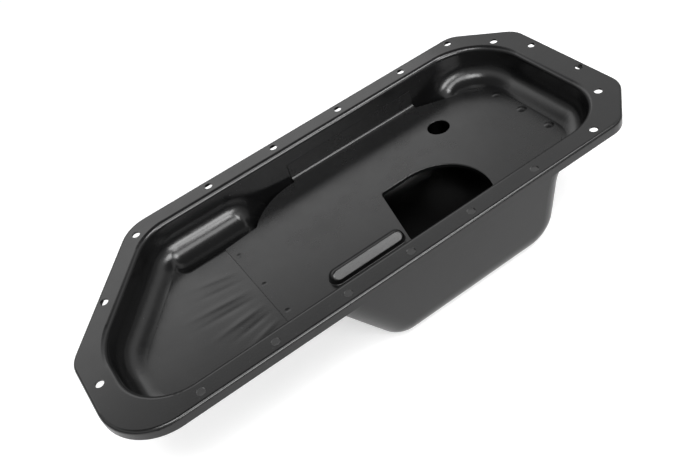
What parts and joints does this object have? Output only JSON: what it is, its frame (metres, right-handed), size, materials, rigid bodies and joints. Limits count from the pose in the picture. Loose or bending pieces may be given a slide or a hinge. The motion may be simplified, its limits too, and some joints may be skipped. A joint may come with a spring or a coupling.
{
  "type": "engine oil pan",
  "caption": "Pressed steel engine oil pan with a bolted gasket flange, a deep sump, a baffle plate with a pick-up opening, and a side drain plug.",
  "frame": {"origin": "midway between the two middle bolt holes, on the sealing face of the flange", "axes": "+X along the pan from its round nose to its chamfered end, +Y across the pan to the side with the drain plug, +Z out of the sealing face towards the engine"},
  "size_m": [0.487, 0.212, 0.1055],
  "materials": {
    "coated_sheet": "semi-gloss black",
    "coated_baffle": "satin black",
    "washer_metal": "satin",
    "plug_steel": "zinc plated, satin"
  },
  "bodies": {
    "root": {"pan_shell": "coated_sheet", "baffle_plate": "coated_baffle", "drain_boss": "coated_sheet", "drain_washer": "washer_metal", "drain_plug": "plug_steel"}
  },
  "joints": []
}
